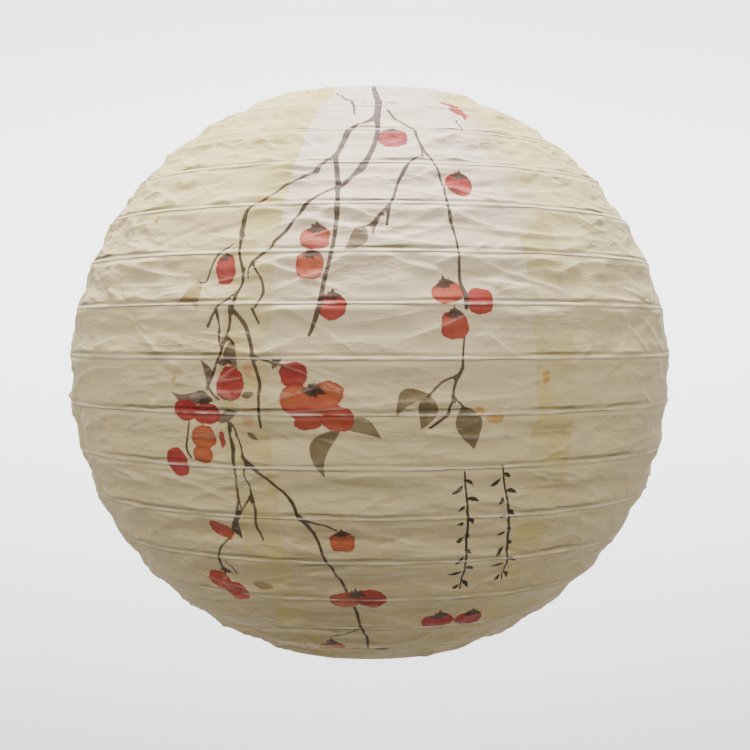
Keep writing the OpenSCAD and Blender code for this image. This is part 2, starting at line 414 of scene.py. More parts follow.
# The sepals of a fruit: their bearings in degrees and their lengths as shares of its width
SEPAL_POINTS = ((-168, 0.4), (-118, 0.24), (-62, 0.26), (-10, 0.4), (38, 0.24), (88, 0.3), (140, 0.26))
SPRIG_LEAVES = 7
# The print repeats around the globe, turned by these degrees
REPEATS = (0, 120, 240)
# The tones of a stamped shape: brown and black ink
BROWN, BLACK = 0.25, 1.0


def smooth_line(points, steps=3):
    """A smooth line through the points of a branch, each with its width."""
    p = np.array(points, float)
    p = np.concatenate([[2 * p[0] - p[1]], p, [2 * p[-1] - p[-2]]])
    out = []
    for a, b, c, d in zip(p, p[1:], p[2:], p[3:]):
        for t in np.arange(steps) / steps:
            bend = 2 * a - 5 * b + 4 * c - d
            out.append(b + 0.5 * ((c - a) * t + bend * t**2 + (3 * b - a - 3 * c + d) * t**3))
    out.append(p[-2])
    return np.array(out)


def place_frame(azimuth, angle):
    """A point of the globe with the directions right and up in the paper there."""
    az, an = math.radians(azimuth), math.radians(angle)
    at = globe_point(az, an)
    right = np.array([math.cos(az), math.sin(az), 0])
    up = np.array([-math.sin(an) * math.sin(az), math.sin(an) * math.cos(az),
                   height_share * math.cos(an)])
    return at, right, up / np.linalg.norm(up)


class Print:
    """The print's distances in mm at points of the smooth globe: below 0 is inside a shape.

    A branch is kept as its signed offset and half width, which stay exact between the mesh's
    points. branch_near says where they hold, and branch_next, the distance to the second nearest
    branch, tells where two of them meet."""

    FIELDS = ("branch_near", "branch_next", "stamp", "fruit", "leaf", "drop", "wash")
    VALUES = ("branch_offset", "branch_half", "branch_tone", "stamp_tone", "fruit_tone", "leaf_tone")

    def __init__(self, points):
        self.points = points.reshape(-1, 3)
        count = len(self.points)
        self.field = {name: np.full(count, FAR_MM) for name in self.FIELDS}
        self.value = {name: np.zeros(count) for name in self.VALUES}
        for turn in REPEATS:
            self.draw(turn)

    def near(self, at, reach):
        return np.flatnonzero(np.abs(self.points - at).max(1) < reach)

    def lay(self, name, index, distance, **values):
        """Keep this shape where it is nearer than the ones before it."""
        closer = distance < self.field[name][index]
        index = index[closer]
        self.field[name][index] = distance[closer]
        for key, value in values.items():
            self.value[key][index] = value[closer] if np.ndim(value) else value

    def segment(self, a, b, wide_a, wide_b):
        """A straight part of a branch: the points near it, and in mm their signed offset, their
        distance and the branch's half width there."""
        span = b - a
        index = self.near((a + b) / 2, np.abs(span).max() / 2 + 6 * MM)
        p = self.points[index] - a
        t = np.clip(p @ span / (span @ span), 0, 1)
        across = np.cross(a - (0, 0, globe_z), span)
        side = p @ across / np.linalg.norm(across) / MM
        away = np.linalg.norm(p - t[:, None] * span, axis=1) / MM
        return index, side, away, (wide_a + t * (wide_b - wide_a)) / 2

    def stroke(self, points, turn, tone=0.0):
        """A branch through points of (azimuth, angle, width)."""
        line = smooth_line(points)
        places = globe_point(np.radians(line[:, 0] + turn), np.radians(line[:, 1]))
        best = np.full(len(self.points), FAR_MM)
        offset, width = np.zeros((2, len(self.points)))
        for a, b, wide_a, wide_b in zip(places, places[1:], line[:, 2], line[1:, 2]):
            index, side, away, half = self.segment(a, b, wide_a, wide_b)
            closer = away - half < best[index]
            index = index[closer]
            best[index] = (away - half)[closer]
            offset[index] = side[closer]
            width[index] = half[closer]
        index = np.flatnonzero(best < FAR_MM)
        farther = np.maximum(self.field["branch_near"][index], best[index])
        second = self.field["branch_next"]
        second[index] = np.minimum(second[index], farther)
        self.lay("branch_near", index, best[index],
                 branch_offset=offset[index], branch_half=width[index], branch_tone=tone)

    def local(self, azimuth, angle, reach, bearing):
        """Points near a place, with their offsets in mm along a bearing and to the left of it."""
        at, right, up = place_frame(azimuth, angle)
        index = self.near(at, reach * MM)
        off = self.points[index] - at
        x, y, turn = off @ right / MM, off @ up / MM, math.radians(bearing)
        along = x * math.cos(turn) + y * math.sin(turn)
        return index, along, y * math.cos(turn) - x * math.sin(turn)

    def disc(self, name, azimuth, angle, width, height, tilt=0, **values):
        """A rounded shape: an ellipse that is a little squarer."""
        index, x, y = self.local(azimuth, angle, max(width, height) / 2 + FAR_MM, tilt)
        u, v = x / (width / 2), y / (height / 2)
        size = (np.abs(u) ** 2.4 + np.abs(v) ** 2.4) ** (1 / 2.4)
        self.lay(name, index, (size - 1) * min(width, height) / 2, **values)

    def blade(self, name, azimuth, angle, bearing, length, width, curve, tone):
        """A leaf shape that starts at a place and points along a bearing."""
        index, along, across = self.local(azimuth, angle, length + FAR_MM, bearing)
        share = np.clip(along / length, 0, 1)
        across = across - curve * length * np.sin(math.pi * share)
        half = width / 2 * np.sin(math.pi * share**0.75) ** 1.2
        distance = np.maximum(np.abs(across) - half, np.maximum(-along, along - length))
        # The two halves of a leaf differ a little in tone
        tones = {name + "_tone": tone + 0.08 * np.tanh(across)} if name != "fruit" else {}
        self.lay(name, index, distance, **tones)

    def leaf(self, name, turn, azimuth, angle, tip_azimuth, tip_angle, width, curve, tone=0.0):
        """A leaf shape from one place to another."""
        at, right, up = place_frame(azimuth + turn, angle)
        off = globe_point(math.radians(tip_azimuth + turn), math.radians(tip_angle)) - at
        bearing = math.degrees(math.atan2(off @ up, off @ right))
        length = float(np.linalg.norm(off)) / MM
        self.blade(name, azimuth + turn, angle, bearing, length, width, curve, tone)

    def sepals(self, azimuth, angle, width, height, tilt):
        """The pointed dark sepals and the short stalk on top of a fruit."""
        lift = math.degrees(0.44 * height * MM / globe_r)
        azimuth = azimuth - lift * math.sin(math.radians(tilt)) / math.cos(math.radians(angle))
        angle = angle + lift * math.cos(math.radians(tilt))
        for bearing, share in SEPAL_POINTS:
            wide = (0.17 if bearing < 0 else 0.11) * width
            self.blade("stamp", azimuth, angle, bearing + tilt, share * width, wide, 0.06, BROWN)

    def sprig(self, top, bottom, turn):
        """A slim stem with small leaves on both sides, in black ink."""
        top, bottom = np.array(top, float), np.array(bottom, float)
        middle = (top + bottom) / 2 + (0.4, 0)
        self.stroke([(*top, 1), (*middle, 1.6), (*bottom, 1)], turn, BLACK)
        for i in range(SPRIG_LEAVES):
            at = top + (bottom - top) * (i + 0.4) / SPRIG_LEAVES
            for side in (0, 1):
                bearing = 215 + 20 * math.sin(i * 2.1) if side else -38 + 22 * math.sin(i * 1.7)
                size = 7.5 + 2.5 * math.sin(i * 1.3 + side * 2)
                self.blade("stamp", at[0] + turn, at[1] - side, bearing, size, 2.6, 0.10, BLACK)

    def draw(self, turn):
        """The whole print once, turned around the globe."""
        for points in BRANCHES:
            self.stroke(points, turn)
        for azimuth, angle, width, height, tilt, tone, shows in FRUITS:
            self.disc("fruit", azimuth + turn, angle, width, height, tilt, fruit_tone=tone)
            if shows:
                self.sepals(azimuth + turn, angle, width, height, tilt)
        for azimuth, angle, *shape in SEPALS:
            self.sepals(azimuth + turn, angle, *shape)
        for name, places in (("wash", WASHES), ("drop", DROPS)):
            for azimuth, angle, *size in places:
                self.disc(name, azimuth + turn, angle, *size)
        for name, shapes in (("leaf", LEAVES), ("fruit", FLOWERS)):
            for shape in shapes:
                self.leaf(name, turn, *shape)
        for top, bottom in SPRIGS:
            self.sprig(top, bottom, turn)


# ---- the gores


def grid(n_rows, n_columns):
    """The faces of a grid of vertices, and the vertices along its edge in order."""
    index = np.arange(n_rows * n_columns).reshape(n_rows, n_columns)
    faces = np.stack([index[:-1, :-1], index[1:, :-1], index[1:, 1:], index[:-1, 1:]], -1)
    edge = [index[0, :-1], index[:-1, -1], index[-1, :0:-1], index[:0:-1, 0]]
    return faces.reshape(-1, 4), np.concatenate(edge)


def build_mesh(name, points, faces, slots):
    """A smooth piece from points and faces, with each face's material slot."""
    mesh = bpy.data.meshes.new(name)
    mesh.vertices.add(len(points))
    mesh.vertices.foreach_set("co", points.astype(np.float32).ravel())
    mesh.loops.add(faces.size)
    mesh.loops.foreach_set("vertex_index", faces.astype(np.int32).ravel())
    mesh.polygons.add(len(faces))
    mesh.polygons.foreach_set("loop_start", np.arange(len(faces), dtype=np.int32) * faces.shape[1])
    mesh.polygons.foreach_set("material_index", slots.astype(np.int32))
    mesh.polygons.foreach_set("use_smooth", np.ones(len(faces), bool))
    mesh.update(calc_edges=True)
    mesh.validate()
    piece = bpy.data.objects.new(name, mesh)
    bpy.context.scene.collection.objects.link(piece)
    return piece


def crease_border(mesh, edge, size):
    """Keep the shading of the paper's faces and of its thin edge apart."""
    on_border = np.zeros(2 * size, bool)
    on_border[np.concatenate([edge, edge + size])] = True
    ends = np.empty(2 * len(mesh.edges), np.int32)
    mesh.edges.foreach_get("vertices", ends)
    sharp = on_border[ends.reshape(-1, 2)].all(1)
    layer = mesh.attributes.new("sharp_edge", "BOOLEAN", "EDGE")
    layer.data.foreach_set("value", sharp)


def closed_sheet(name, outer, inner):
    """A closed thin sheet from the points of its two sides, with a material slot for each."""
    size = outer.size // 3
    front, edge = grid(*outer.shape[:2])
    back = front[:, ::-1] + size
    rim = np.stack([edge, np.roll(edge, -1), np.roll(edge, -1) + size, edge + size], 1)
    slots = np.repeat([0, 1, 0], [len(front), len(back), len(rim)])
    points = np.concatenate([outer.reshape(-1, 3), inner.reshape(-1, 3)])
    piece = build_mesh(name, points, np.concatenate([front, back, rim]), slots)
    crease_border(piece.data, edge, size)
    return piece


def gore_sides(azimuth, relief, start):
    """The points of a gore on the smooth globe, on its outer side and on its inner side."""
    degrees, angle = np.degrees(azimuth), ROWS[:, 2]
    past_seam = degrees - (start + GORE_DEG - LAP_DEG)
    # Both edges are worn thin, so the seams show as strips and not as steps
    half = GORE_DEG / 2 + LAP_DEG
    worn = smooth(np.abs(degrees - start - GORE_DEG / 2), half - WORN_DEG, half)
    raised = LAP_RAISE * smooth(past_seam, -1.2, 0) * (1 - 0.75 * worn)
    on_globe = globe_point(azimuth[None, :], angle[:, None])
    radial, up = (part[:, None] * np.ones(len(azimuth)) for part in outward(angle))
    normal = np.stack([radial * np.sin(azimuth), -radial * np.cos(azimuth), up], -1)
    outer = on_globe + normal * (relief + raised)[..., None]
    return on_globe, outer, outer - normal * (PAPER * (1 - 0.8 * worn))[None, :, None]


def lap_distance(azimuth, start, width):
    """Distance in mm from the strips where a gore and its neighbours lie on each other."""
    degrees = np.degrees(azimuth)
    right = np.abs(degrees - start - GORE_DEG) - LAP_DEG
    left = degrees - start - LAP_DEG
    return np.radians(np.minimum(left, right))[None, :] * width[:, None] / MM


def ridge_distance():
    """Distance in mm from the nearest hoop, for each row. Its sign changes at each hoop, so that
    it stays exact between the rows."""
    band, t = ROWS.T[:2]
    sign = 1 - 2 * (band % 2)
    return sign * np.minimum(t, 1 - t) * band_length[band.astype(int)] / MM


def add_values(mesh, shape, values):
    """Values for the material at each point of the sheet's grid, the same on both sides."""
    for name, value in values.items():
        if value.size == shape[0]:
            value = np.repeat(value, shape[1])
        layer = mesh.attributes.new(name, "FLOAT", "POINT")
        layer.data.foreach_set("value", np.tile(value.ravel(), 2).astype(np.float32))


def add_uv(mesh, azimuth, along):
    """The flat sheet as a UV map, in metres."""
    u = np.tile(azimuth * globe_r, len(along))
    v = np.repeat(along, len(azimuth))
    flat = np.tile(np.stack([u, v], 1), (2, 1))
    corner = np.empty(len(mesh.loops), np.int32)
    mesh.loops.foreach_get("vertex_index", corner)
    layer = mesh.uv_layers.new(name="sheet")
    layer.data.foreach_set("uv", flat[corner].astype(np.float32).ravel())


def paper_gore(name):
    """One printed gore: a closed thin sheet that laps over its neighbour on its right."""
    start, span_deg = gore_start(name), GORE_DEG + 2 * LAP_DEG
    count = round(math.radians(span_deg) * globe_r / CELL_ACROSS)
    azimuth = np.radians(np.linspace(start - LAP_DEG, start + GORE_DEG + LAP_DEG, count + 1))
    angle, along = ROWS.T[2:]
    width = globe_r * np.cos(angle)
    relief, crests = paper_relief(azimuth)
    on_globe, outer, inner = gore_sides(azimuth, relief, start)
    piece = closed_sheet(name.replace("paper_gore", "printed_gore"), outer, inner)

    ink = Print(on_globe)
    off_pink_highlight = (start + GORE_DEG / 2 - PINK_HIGHLIGHT_AT) / PINK_HIGHLIGHT_WIDE
    values = {f"{field}_mm": distance for field, distance in ink.field.items()} | ink.value | crests
    values |= {"ridge_mm": ridge_distance(), "lap_mm": lap_distance(azimuth, start, width)}
    # A pinker tint on the front gores that also paints a highlight, growing toward the top
    values["pink_highlight"] = math.exp(-off_pink_highlight**2) * smooth(angle, -0.2, 0.9)
    # Painted shade: the paper turns darker and browner toward the bottom
    values |= {"upper": smooth(angle, 0.2, 0.9), "low_shade": LOW_SHADE * smooth(-angle, 0.1, 1.1)}
    add_values(piece.data, relief.shape, values)
    add_uv(piece.data, azimuth, along)

    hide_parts(name)
    return piece


BINDING_AROUND, BINDING_SECTION = 360, 14
BINDING_GAP = 0.5        # half the open part of the section, in radians
BINDING_TURN = 0.35      # how far the open part is turned towards the paper


def rim_binding(name, rim, body):
    """The strip of paper glued around a rim wire: a ring with a C-shaped section."""
    radius, height, wire = ring_size(rim)
    facing = 1 if height > globe_z else -1
    turn = np.linspace(0, 2 * math.pi, BINDING_AROUND, endpoint=False)
    section = np.linspace(BINDING_GAP, 2 * math.pi - BINDING_GAP, BINDING_SECTION)
    section = section - BINDING_TURN
    wave = 0.06 * MM * np.sin(turn * 61 + 2 * np.sin(turn * 7))
    sides = []
    for tube in (wire + COVER + PAPER + 0.1 * MM, wire + COVER):
        size = tube + wave[:, None]
        r = radius + size * np.cos(section)
        z = height + facing * size * np.sin(section)
        sides.append(np.stack([r * np.sin(turn)[:, None], -r * np.cos(turn)[:, None], z], -1))
    loop = np.concatenate([sides[0], sides[1][:, ::-1]], 1)
    index = np.arange(loop.size // 3).reshape(loop.shape[:2])
    ahead = np.roll(index, -1, 1)
    faces = np.stack([index, ahead, np.roll(ahead, -1, 0), np.roll(index, -1, 0)], -1)
    faces = faces.reshape(-1, 4)[:, ::-facing]
    piece = build_mesh(name, loop.reshape(-1, 3), faces, np.zeros(len(faces)))
    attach(piece, body)
    return piece


# ---- materials

# Colours as linear red, green and blue
PAPER_DARK, PAPER_LIGHT = (0.57, 0.45, 0.23), (0.68, 0.56, 0.31)
# The second colour here is a pinker paper tint that also paints a highlight on the upper paper
PAPER_TOP, PAPER_PINK_HIGHLIGHT = (0.66, 0.55, 0.19), (0.70, 0.57, 0.47)
# The first colour here is painted shade for the lowest paper; the second is pale wear with a painted
# highlight along the hoops and creases
PAPER_LOW_SHADE, PAPER_WORN_HIGHLIGHT = (0.40, 0.27, 0.10), (0.93, 0.88, 0.76)
FIBRE = (0.83, 0.76, 0.60)
GLUE_LAP, GLUE_HOOP = (0.54, 0.44, 0.17), (0.44, 0.34, 0.19)
WASH_RED, DROP_OCHRE = (0.52, 0.16, 0.12), (0.50, 0.26, 0.06)
LEAF_PURPLE, LEAF_OLIVE = (0.10, 0.050, 0.042), (0.14, 0.100, 0.050)
LEAF_OCHRE, LEAF_PALE = (0.36, 0.25, 0.11), (0.42, 0.34, 0.22)
FRUIT_ROSE, FRUIT_ORANGE = (0.31, 0.024, 0.027), (0.42, 0.095, 0.032)
FRUIT_PALE, FRUIT_EDGE = (0.46, 0.10, 0.085), (0.23, 0.022, 0.018)
INK_DARK, INK_PALE = (0.045, 0.027, 0.021), (0.105, 0.068, 0.048)
INK_BLACK = (0.016, 0.015, 0.018)
BACK_DARK, BACK_LIGHT = (0.58, 0.50, 0.36), (0.70, 0.62, 0.47)
BACK_LAP, BACK_GLUE = (0.54, 0.44, 0.25), (0.50, 0.41, 0.27)
BACK_LEAF, BACK_FRUIT, BACK_INK = (0.42, 0.35, 0.23), (0.60, 0.34, 0.26), (0.33, 0.27, 0.20)
BINDING_DARK, BINDING_LIGHT = (0.60, 0.52, 0.38), (0.76, 0.70, 0.58)
BINDING_DIRT = (0.45, 0.37, 0.25)
BACKDROP_GREY = (0.86, 0.86, 0.86)


class Nodes:
    """Short calls for building a material's nodes."""

    def __init__(self, name):
        self.material = bpy.data.materials.new(name)
        self.material.use_nodes = True
        self.tree = self.material.node_tree
        self.shader = self.tree.nodes["Principled BSDF"]

    def add(self, kind, inputs=(), **settings):
        """A node with its settings and its inputs, which are sockets or plain values."""
        node = self.tree.nodes.new(kind)
        for key, value in settings.items():
            setattr(node, key, value)
        for key, value in dict(inputs).items():
            self.link(value, node.inputs[key])
        return node

    def link(self, source, target):
        """Connect a socket, or set a plain value or a colour."""
        if isinstance(source, bpy.types.NodeSocket):
            self.tree.links.new(source, target)
        else:
            target.default_value = (*source, 1) if target.type == "RGBA" else source

    def math(self, operation, *inputs):
        return self.add("ShaderNodeMath", enumerate(inputs), operation=operation).outputs[0]

    def plus(self, a, b):
        return self.math("ADD", a, b)

    def minus(self, a, b):
        return self.math("SUBTRACT", a, b)

    def times(self, a, b):
        return self.math("MULTIPLY", a, b)

    def value(self, name):
        """One of the mesh's own values, as a number."""
        return self.add("ShaderNodeAttribute", attribute_name=name).outputs["Fac"]

    def size(self, name):
        return self.math("ABSOLUTE", self.value(name))

    def sheet(self):
        """The place in the flat sheet, in metres."""
        return self.add("ShaderNodeUVMap", uv_map="sheet").outputs[0]

    def step(self, value, low, high, start=0.0, end=1.0):
        """start below low, end above high, and smooth between."""
        inputs = {"Value": value, "From Min": low, "From Max": high, "To Min": start, "To Max": end}
        return self.add("ShaderNodeMapRange", inputs, interpolation_type="SMOOTHSTEP").outputs[0]

    def mix(self, factor, a, b):
        node = self.add("ShaderNodeMix", {"Factor": factor, "A": a, "B": b}, data_type="RGBA")
        return node.outputs["Result"]

    def stretched(self, vector, scale):
        return self.add("ShaderNodeMapping", {"Vector": vector, "Scale": scale}).outputs[0]

    def noise(self, vector, scale, detail=3.0, roughness=0.5, distortion=0.0):
        inputs = {"Vector": vector, "Scale": scale, "Detail": detail, "Roughness": roughness,
                  "Distortion": distortion}
        return self.add("ShaderNodeTexNoise", inputs).outputs["Fac"]

    def jitter(self, vector, scale, reach, detail=2):
        """Noise around 0, of about half the reach to each side."""
        return self.times(self.minus(self.noise(vector, scale, detail), 0.5), reach)

    def warped(self, vector, scale, shift):
        """The vector, pushed about by a slow noise."""
        noise = self.add("ShaderNodeTexNoise", {"Vector": vector, "Scale": scale}).outputs["Color"]
        inputs = enumerate((noise, shift, vector))
        return self.add("ShaderNodeVectorMath", inputs, operation="MULTIPLY_ADD").outputs[0]

    def cells(self, vector):
        """Distance from the middle of the nearest of many scattered cells of about size 1."""
        return self.add("ShaderNodeTexVoronoi", {"Vector": vector, "Scale": 1}).outputs["Distance"]

    def bump(self, height, distance, normal=None, strength=1.0):
        inputs = {"Height": height, "Distance": distance, "Strength": strength}
        if normal is not None:
            inputs["Normal"] = normal
        return self.add("ShaderNodeBump", inputs).outputs[0]

    def finish(self, base, roughness, normal):
        self.link(base, self.shader.inputs["Base Color"])
        self.link(roughness, self.shader.inputs["Roughness"])
        self.link(normal, self.shader.inputs["Normal"])
        return self.material


def crest_line(m):
    """Thin lines along the creases' crests, from 0 to 1."""
    line = m.times(m.step(m.size("crease_offset"), 0.2, 1.0, 1, 0),
                   m.step(m.value("crease_near"), 0.9, 1.4, 1, 0))
    return m.times(line, m.step(m.value("crease_sharp"), 0.1, 0.9))


def paper_normal(m, sheet, crease, ridge):
    """A normal with crumples, crests, beads over the hoops and fibres."""
    warped = m.warped(sheet, 24, (0.02, 0.014, 0))
    # Some places are calm, and so is the paper over each hoop
    calm = m.times(m.step(m.noise(sheet, 11, 2), 0.42, 0.62, 0.35, 1.0), m.step(ridge, 0.8, 4.0))
    normal = m.bump(m.times(m.cells(m.stretched(warped, (26, 85, 1))), calm), 0.0020)
    normal = m.bump(m.times(m.cells(m.stretched(warped, (80, 220, 1))), calm), 0.0008, normal)
    crumple = m.noise(m.stretched(warped, (150, 330, 1)), 1, 3, 0.6, 1.0)
    normal = m.bump(m.times(crumple, calm), 0.0008, normal)
    normal = m.bump(crease, 0.0001, normal)
    bead_width = m.step(m.noise(sheet, 22, 2), 0.35, 0.65, 0.8, 2.8)
    normal = m.bump(m.step(ridge, 0.1, bead_width, 1.0, 0.0), 0.0007, normal)
    fibres = m.noise(m.stretched(sheet, (500, 2600, 1)), 1, 3, 0.6, 0.4)
    return m.bump(fibres, 0.00007, normal, 0.8)


def branch_distance(m):
    """Distance from a branch's edge in mm, exact between the mesh's points."""
    near = m.value("branch_near_mm")
    exact = m.minus(m.size("branch_offset"), m.value("branch_half"))
    exact = m.plus(exact, m.times(m.step(near, 0.45, 0.8), FAR_MM))
    exact = m.math("MINIMUM", exact, m.plus(near, 0.25))
    # Where two branches meet only the plain distance holds
    meet = m.step(m.value("branch_next_mm"), 0.9, 1.8, 1.0, 0.0)
    return m.plus(exact, m.times(meet, m.minus(m.minus(near, 0.25), exact)))


def shape_cover(m, distance, strength=1.0, soft=0.3):
    """strength inside a printed shape, 0 outside."""
    return m.step(distance, -soft, soft, strength, 0.0)


def bare_paper(m, sheet, fibre, ridge):
    """The paper before it is printed: cloudy, toned by height, gore and glue, with a painted pink
    highlight toward the top and painted shade toward the bottom.
    """
    base = m.mix(m.noise(sheet, 9, 4, 0.55), PAPER_DARK, PAPER_LIGHT)
    # The top is yellower, the pink tint paints a highlight there, and the lowest paper gets painted shade
    for field, tint in (("upper", PAPER_TOP), ("pink_highlight", PAPER_PINK_HIGHLIGHT), ("low_shade", PAPER_LOW_SHADE)):
        base = m.mix(m.value(field), base, tint)
    base = m.mix(m.step(fibre, 0.35, 0.75, 0.0, 0.18), base, FIBRE)
    # Two layers in a lap are yellower, with an uneven edge of dried glue
    lap = m.plus(m.value("lap_mm"), m.jitter(sheet, 42, 6.0, 3))
    lap = m.step(lap, -0.6, 0.6, 1.0, 0.0)
    patch = m.step(m.noise(sheet, 28, 3), 0.38, 0.62, 0.18, 0.78)
    base = m.mix(m.times(lap, patch), base, GLUE_LAP)
    return m.mix(m.step(ridge, 1.2, 3.5, 0.20, 0.0), base, GLUE_HOOP)


def leaf_colour(m, wash):
    tone = m.value("leaf_tone")
    tint = m.mix(m.step(tone, 0, 0.45), LEAF_PURPLE, LEAF_OLIVE)
    tint = m.mix(m.step(tone, 0.5, 0.95), tint, LEAF_OCHRE)
    return m.mix(m.step(wash, 0.3, 0.8, 0.0, 0.25), tint, LEAF_PALE)


def fruit_colour(m, wash, distance):
    tint = m.mix(m.step(m.value("fruit_tone"), 0, 1), FRUIT_ROSE, FRUIT_ORANGE)
    tint = m.mix(m.step(wash, 0.40, 0.75, 0.0, 0.35), tint, FRUIT_PALE)
    return m.mix(m.step(distance, -2.4, -0.3, 0.0, 0.35), tint, FRUIT_EDGE)


def ink_colour(m, wash):
    """Brown for the branches and sepals, black for the sprigs."""
    brown = m.mix(m.step(wash, 0.3, 0.7), INK_DARK, INK_PALE)
    stamped = m.times(m.value("stamp_tone"), shape_cover(m, m.value("stamp_mm"), 1, 0.8))
    black = m.step(m.math("MAXIMUM", stamped, m.value("branch_tone")), 0.5, 0.9)
    return m.mix(black, brown, INK_BLACK)


def printed(m, sheet, base):
    """The print over the paper, with ragged edges and uneven brushwork."""
    ragged = m.jitter(sheet, 750, 0.8)
    brushed = m.plus(ragged, m.jitter(sheet, 130, 3.6))
    wash = m.noise(sheet, 60, 3, 0.6)
    faded = m.plus(m.value("wash_mm"), brushed)
    base = m.mix(shape_cover(m, faded, 0.45, 1.0), base, WASH_RED)
    leaf = m.plus(m.value("leaf_mm"), ragged)
    base = m.mix(shape_cover(m, leaf, 0.95), base, leaf_colour(m, wash))
    drop = m.plus(m.value("drop_mm"), brushed)
    base = m.mix(shape_cover(m, drop, 0.8), base, DROP_OCHRE)
    fruit = m.plus(m.value("fruit_mm"), brushed)
    base = m.mix(shape_cover(m, fruit, 0.95), base, fruit_colour(m, wash, fruit))
    ink = m.math("MINIMUM", m.plus(m.value("stamp_mm"), ragged), branch_distance(m))
    ink = m.plus(ink, m.times(ragged, 0.5))
    return m.mix(shape_cover(m, ink, 0.95, 0.22), base, ink_colour(m, wash))


def printed_paper():
    """The outside of the paper: printed, with pale wear and a painted highlight along the hoops and the
    creases.
    """
    m = Nodes("printed_paper")
    sheet, crease, ridge = m.sheet(), crest_line(m), m.size("ridge_mm")
    fibre = m.noise(m.stretched(sheet, (160, 1100, 1)), 1, 4, 0.6, 0.6)
    base = printed(m, sheet, bare_paper(m, sheet, fibre, ridge))
    # Pale wear with a painted highlight along the hoops, broken up by noise, and fainter along the crease
    # crests
    share = m.step(m.noise(sheet, 40, 3), 0.38, 0.62, 0.0, 0.55)
    worn = m.times(m.step(ridge, 0.3, 1.0, 1.0, 0.0), share)
    worn = m.math("MAXIMUM", worn, m.times(crease, 0.10))
    m.link(0.15, m.shader.inputs["Specular IOR Level"])
    roughness = m.step(fibre, 0.2, 0.8, 0.50, 0.62)
    return m.finish(m.mix(worn, base, PAPER_WORN_HIGHLIGHT), roughness, paper_normal(m, sheet, crease, ridge))


def paper_back():
    """The inside of the paper: unprinted, with the print showing through faintly."""
    m = Nodes("paper_back")
    sheet, crease, ridge = m.sheet(), crest_line(m), m.size("ridge_mm")
    base = m.mix(m.noise(sheet, 9, 4, 0.55), BACK_DARK, BACK_LIGHT)
    base = m.mix(m.step(m.value("lap_mm"), -0.4, 0.4, 0.5, 0.0), base, BACK_LAP)
    for shape, dark in (("leaf", BACK_LEAF), ("fruit", BACK_FRUIT), ("stamp", BACK_INK)):
        base = m.mix(shape_cover(m, m.value(shape + "_mm"), 0.4, 1.0), base, dark)
    base = m.mix(shape_cover(m, branch_distance(m), 0.4, 0.6), base, BACK_INK)
    base = m.mix(m.step(ridge, 1.0, 4.5, 0.30, 0.0), base, BACK_GLUE)
    return m.finish(base, 0.75, paper_normal(m, sheet, crease, ridge))


def binding_paper():
    """The narrow strip around a rim: pale paper with wrinkles across it."""
    m = Nodes("binding_paper")
    place = m.add("ShaderNodeTexCoord").outputs["Object"]
    fine = m.noise(place, 900, 3, 0.6)
    base = m.mix(m.noise(place, 120, 3, 0.6), BINDING_DARK, BINDING_LIGHT)
    base = m.mix(m.step(fine, 0.55, 0.8, 0.0, 0.5), base, BINDING_DIRT)
    return m.finish(base, 0.7, m.bump(fine, 0.0003, strength=0.8))


def steel_wire(name, tint, stain, roughness):
    """Drawn steel wire with draw lines, dull patches and a little rust or glue."""
    m = Nodes(name)
    place = m.add("ShaderNodeTexCoord").outputs["Object"]
    lines = m.noise(m.stretched(place, (900, 900, 900)), 1, 3, 0.6, 1.5)
    dirt = m.step(m.noise(place, 210, 4, 0.65), 0.56, 0.70)
    dull = tuple(0.72 * c for c in tint)
    base = m.mix(m.step(m.noise(place, 70, 4, 0.6), 0.3, 0.7), tint, dull)
    base = m.mix(m.times(dirt, 0.7), base, stain)
    m.link(m.minus(1.0, m.times(dirt, 0.75)), m.shader.inputs["Metallic"])
    rough = m.plus(m.times(lines, 0.22), roughness - 0.11)
    return m.finish(base, m.plus(rough, m.times(dirt, 0.3)), m.bump(lines, 0.00006, strength=0.6))


def backdrop_material():
    m = Nodes("backdrop")
    m.link(BACKDROP_GREY, m.shader.inputs["Base Color"])
    m.link(0.9, m.shader.inputs["Roughness"])
    return m.material


# ---- making the pieces


def give(piece, *materials):
    """Put these materials in the piece's slots, in order."""
    slots = piece.data.materials
    for i, material in enumerate(materials):
        if i < len(slots):
            slots[i] = material
        else:
            slots.append(material)


def make_paper():
    """The seven printed gores and the bindings of both rims."""
    front, back, strip = printed_paper(), paper_back(), binding_paper()
    hems = [
        rim_binding("rim_binding_top", "top_rim", "lantern_top"),
        rim_binding("rim_binding_bottom", "bottom_rim", "bottom_rim"),
    ]
    for hem in hems:
        give(hem, strip)
    for name in GORES:
        piece = paper_gore(name)
        give(piece, front, back)
        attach(piece, "lantern_top")
        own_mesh(piece)


def finish_wires():
    """Steel for the wires, which are the CAD's own pieces."""
    hoop = steel_wire("hoop_steel", (0.50, 0.48, 0.44), (0.46, 0.39, 0.27), 0.48)
    rim = steel_wire("rim_steel", (0.48, 0.46, 0.43), (0.34, 0.25, 0.16), 0.45)
    spring = steel_wire("spring_steel", (0.42, 0.43, 0.44), (0.22, 0.18, 0.14), 0.32)
    for name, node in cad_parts.items():
        if name.startswith("rib_hoop"):
            give(node, hoop)
        elif name.endswith("rim"):
            give(node, rim)
        elif name.startswith("expander"):
            give(node, spring)


# ---- camera, floor and light

LENS_MM = 63.2
CAMERA_AWAY, CAMERA_RISE = 4.5, 0.12     # in globe radii, from the globe's middle
CAMERA_DOWN_DEG, CAMERA_RIGHT_DEG = 1.68, 0.22

FLOOR_BELOW = 2.60       # from the lantern's lowest point down to the floor
FLOOR_HALF = 30.0
WALL_HEIGHT, WALL_BEND = 6.2, 0.9
# The walls: their place along Y, and the way they face away from the lantern
WALLS = ((-9.0, -1), (2.8, 1))

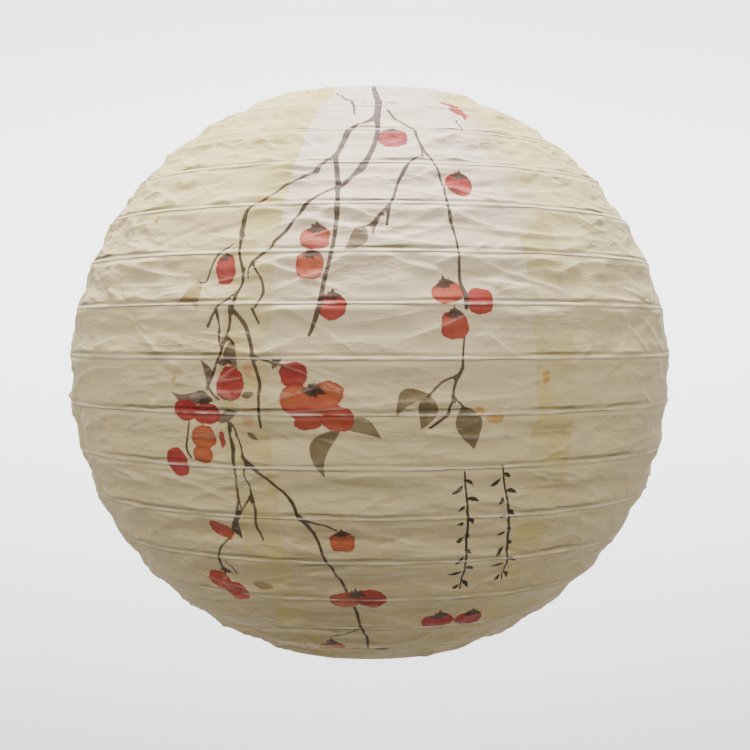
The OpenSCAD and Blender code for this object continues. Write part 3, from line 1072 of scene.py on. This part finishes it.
# Lights on the lantern: place, size, watts and tint
LIGHTS = {
    "key": ((-0.02, -0.04, 1.15), (0.5, 0.4), 58, (1.0, 0.98, 0.96)),
    "front": ((-0.1, -1.6, 1.0), (0.5, 0.4), 20, (1.0, 0.97, 0.91)),
    "left": ((-1.55, -0.75, 0.70), (0.6, 0.6), 18, (1.0, 0.96, 0.87)),
    "right": ((1.6, -0.9, 0.45), (0.6, 0.6), 14, (1.0, 0.96, 0.88)),
}
# Lights on the back wall: place along X
WALL_LIGHTS = {"backdrop_left": -1.6, "backdrop_middle": 0.0, "backdrop_right": 1.6}
WALL_LIGHT_Y, WALL_LIGHT_Z, WALL_LIGHT_WATTS = 1.4, 0.1, 75
WORLD_TINT, WORLD_STRENGTH = (1.0, 0.96, 0.90), 0.15


def make_camera():
    """A camera in front of the lantern, a little above its middle."""
    data = bpy.data.cameras.new("camera")
    data.sensor_width = 36
    data.lens = LENS_MM
    camera = bpy.data.objects.new("camera", data)
    camera.location = (0, -CAMERA_AWAY * globe_r, globe_z + CAMERA_RISE * globe_r)
    turn = (90 - CAMERA_DOWN_DEG, 0, -CAMERA_RIGHT_DEG)
    camera.rotation_euler = [math.radians(a) for a in turn]
    bpy.context.scene.collection.objects.link(camera)
    bpy.context.scene.camera = camera


def make_backdrop():
    """A wide floor under the lantern that curves up into a wall at each end."""
    low = float(cad_box[0][2]) - FLOOR_BELOW
    arc = [(math.sin(a), 1 - math.cos(a)) for a in np.radians(np.arange(0, 91, 6))]
    path = []
    for end, side in WALLS:
        rise = [(end + side * WALL_BEND * (y - 1), WALL_BEND * z) for y, z in arc]
        path += [*rise, (end, WALL_HEIGHT)][::side]
    edges = (-FLOOR_HALF, FLOOR_HALF)
    points = np.array([(x, y, low + z) for y, z in path for x in edges])
    faces = np.array([(2 * i, 2 * i + 1, 2 * i + 3, 2 * i + 2) for i in range(len(path) - 1)])
    floor = build_mesh("backdrop", points, faces, np.zeros(len(faces)))
    give(floor, backdrop_material())


def area_light(name, place, target, size, power, tint=(1, 1, 1)):
    data = bpy.data.lights.new(name, "AREA")
    data.shape = "RECTANGLE"
    data.size, data.size_y = size
    data.energy = power
    data.color = tint
    light = bpy.data.objects.new(name, data)
    light.location = place
    light.rotation_euler = (Vector(target) - Vector(place)).to_track_quat("-Z", "Y").to_euler()
    bpy.context.scene.collection.objects.link(light)


def make_light():
    """Soft light on the lantern, an even back wall and a dim world."""
    for name, (place, size, power, tint) in LIGHTS.items():
        area_light(name, place, (0, 0, globe_z), size, power, tint)
    wall = WALLS[1][0]
    for name, x in WALL_LIGHTS.items():
        place = (x, WALL_LIGHT_Y, WALL_LIGHT_Z)
        area_light(name, place, (x, wall, WALL_LIGHT_Z), (1.2, 1.2), WALL_LIGHT_WATTS)
    world = bpy.data.worlds.new("studio")
    world.use_nodes = True
    background = world.node_tree.nodes["Background"]
    background.inputs["Color"].default_value = (*WORLD_TINT, 1)
    background.inputs["Strength"].default_value = WORLD_STRENGTH
    bpy.context.scene.world = world


make_camera()
make_paper()
finish_wires()
make_backdrop()
make_light()
